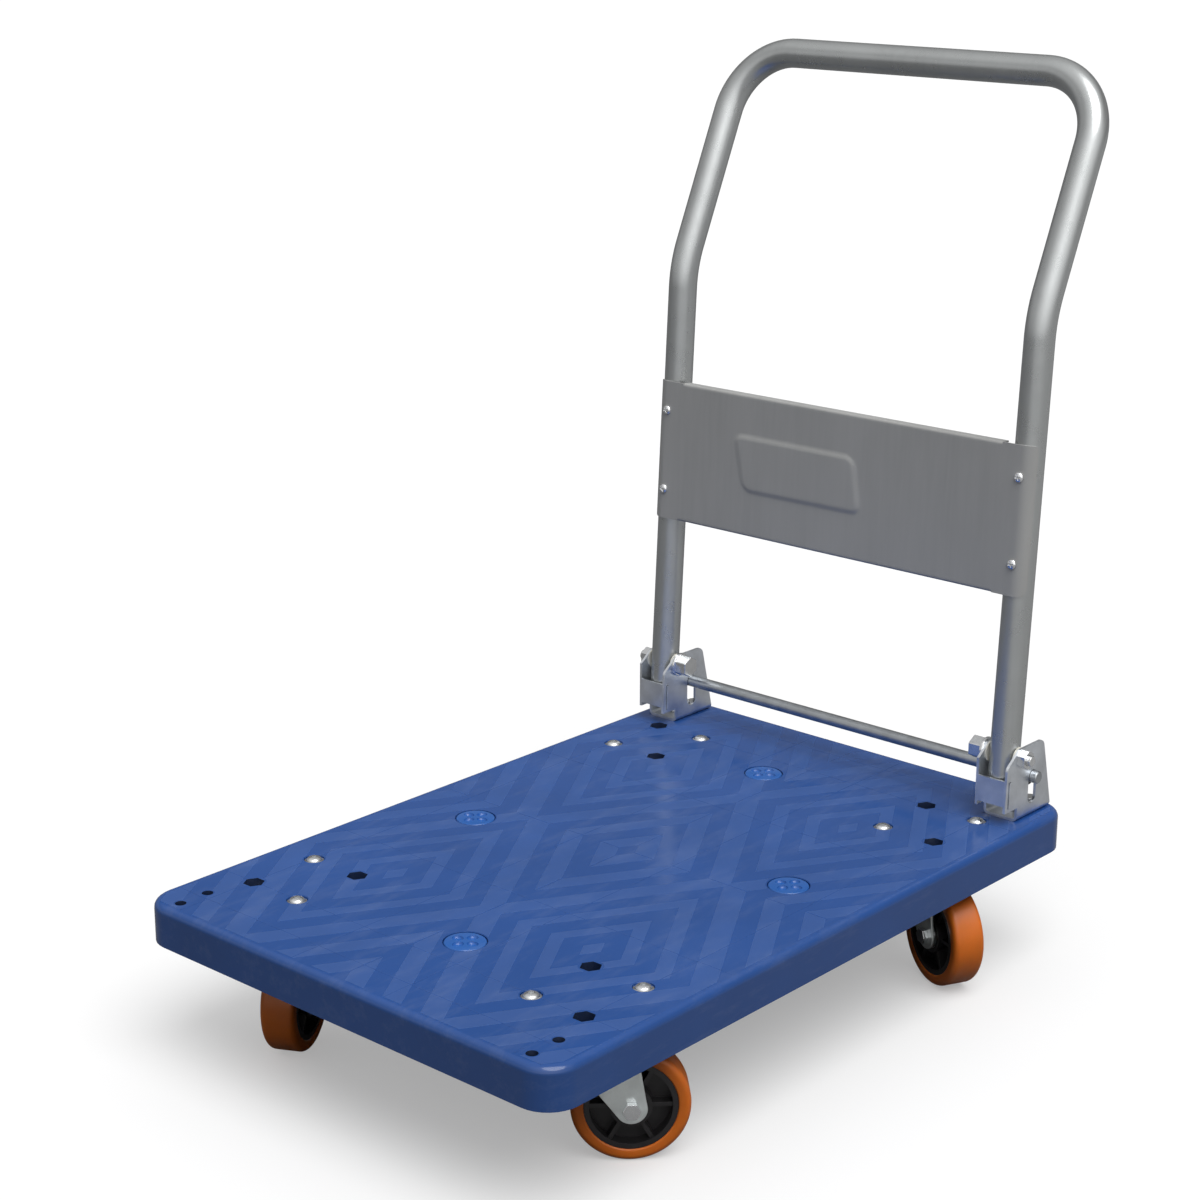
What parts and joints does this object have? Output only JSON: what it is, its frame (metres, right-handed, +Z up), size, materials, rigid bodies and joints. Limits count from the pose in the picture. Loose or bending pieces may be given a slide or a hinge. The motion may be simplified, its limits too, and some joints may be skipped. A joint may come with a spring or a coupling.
{
  "type": "flatbed platform truck",
  "caption": "Folding flatbed platform truck: ribbed plastic deck, tubular push handle with sheet back panel, foot-released hinge brackets and swivel casters.",
  "frame": {"origin": "on the floor, under the middle of the deck", "axes": "+Z up, +Y towards the handle end, +X to the right seen from the open front end"},
  "size_m": [0.4848, 0.7822, 0.828],
  "materials": {
    "deck": "moulded polypropylene with glossy and fine matte stripes",
    "plug": "smooth moulded",
    "tube_paint": "satin silver-grey powder coat",
    "panel_paint": "satin dark grey powder coat",
    "zinc": "bright zinc plate on pressed sheet",
    "steel": "bright zinc plate",
    "rod": "dull zinc plate",
    "black_steel": "blackened spring steel",
    "nylon": "natural nylon",
    "hub": "black moulded",
    "tread": "orange cast polyurethane"
  },
  "bodies": {
    "base": {"deck": "deck", "deck_plugs": "plug", "caster_screws": "steel", "pocket_bolts": "steel", "caster_nuts": "steel", "bracket_left": "zinc", "bracket_right": "zinc", "bracket_bolts": "steel", "bracket_nuts": "steel", "pivot_bolts": "steel", "pivot_nuts": "steel", "pivot_washers": "nylon", "rod_spring_left": "steel", "rod_spring_right": "steel", "plate_front_left": "zinc", "kingpin_front_left": "steel", "balls_front_left": "steel", "plate_front_right": "zinc", "kingpin_front_right": "steel", "balls_front_right": "steel", "plate_rear_left": "zinc", "kingpin_rear_left": "steel", "balls_rear_left": "steel", "plate_rear_right": "zinc", "kingpin_rear_right": "steel", "balls_rear_right": "steel"},
    "handle": {"handle_tube": "tube_paint", "back_panel": "panel_paint", "panel_screws": "steel"},
    "foot_rod": {"foot_rod": "rod", "rod_clips": "black_steel"},
    "caster_front_left": {"fork_front_left": "zinc", "axle_bolt_front_left": "steel", "axle_nut_front_left": "steel", "axle_sleeve_front_left": "steel"},
    "wheel_front_left": {"hub_front_left": "hub", "tread_front_left": "tread", "bearings_front_left": "steel"},
    "caster_front_right": {"fork_front_right": "zinc", "axle_bolt_front_right": "steel", "axle_nut_front_right": "steel", "axle_sleeve_front_right": "steel"},
    "wheel_front_right": {"hub_front_right": "hub", "tread_front_right": "tread", "bearings_front_right": "steel"},
    "caster_rear_left": {"fork_rear_left": "zinc", "axle_bolt_rear_left": "steel", "axle_nut_rear_left": "steel", "axle_sleeve_rear_left": "steel"},
    "wheel_rear_left": {"hub_rear_left": "hub", "tread_rear_left": "tread", "bearings_rear_left": "steel"},
    "caster_rear_right": {"fork_rear_right": "zinc", "axle_bolt_rear_right": "steel", "axle_nut_rear_right": "steel", "axle_sleeve_rear_right": "steel"},
    "wheel_rear_right": {"hub_rear_right": "hub", "tread_rear_right": "tread", "bearings_rear_right": "steel"}
  },
  "joints": [
    {"name": "handle_fold", "type": "hinge", "parent": "base", "child": "handle", "pos_m": [0, 0.295, 0.205], "axis": [1, 0, 0], "range_deg": [0, 93]},
    {"name": "rod_press", "type": "slide", "parent": "base", "child": "foot_rod", "axis": [0, 0, -1], "range_m": [0, 0.019], "deforming": ["rod_spring_left", "rod_spring_right"]},
    {"name": "swivel_front_left", "type": "hinge", "parent": "base", "child": "caster_front_left", "pos_m": [-0.1655, -0.2365, 0.11], "axis": [0, 0, 1], "continuous": true},
    {"name": "spin_front_left", "type": "hinge", "parent": "caster_front_left", "child": "wheel_front_left", "pos_m": [-0.14954, -0.26652, 0.0485], "axis": [0.8829, 0.4695, 0], "continuous": true},
    {"name": "swivel_front_right", "type": "hinge", "parent": "base", "child": "caster_front_right", "pos_m": [0.1655, -0.2365, 0.11], "axis": [0, 0, 1], "continuous": true},
    {"name": "spin_front_right", "type": "hinge", "parent": "caster_front_right", "child": "wheel_front_right", "pos_m": [0.18954, -0.21246, 0.0485], "axis": [-0.7071, 0.7071, 0], "continuous": true},
    {"name": "swivel_rear_left", "type": "hinge", "parent": "base", "child": "caster_rear_left", "pos_m": [-0.1655, 0.2365, 0.11], "axis": [0, 0, 1], "continuous": true},
    {"name": "spin_rear_left", "type": "hinge", "parent": "caster_rear_left", "child": "wheel_rear_left", "pos_m": [-0.1485, 0.26594, 0.0485], "axis": [-0.866, 0.5, 0], "continuous": true},
    {"name": "swivel_rear_right", "type": "hinge", "parent": "base", "child": "caster_rear_right", "pos_m": [0.1655, 0.2365, 0.11], "axis": [0, 0, 1], "continuous": true},
    {"name": "spin_rear_right", "type": "hinge", "parent": "caster_rear_right", "child": "wheel_rear_right", "pos_m": [0.19606, 0.22159, 0.0485], "axis": [0.4384, 0.8988, 0], "continuous": true}
  ],
  "couplings": [
    {"joint": "rod_press", "follows": "handle_fold", "m_per_rad": 0.011644}
  ]
}
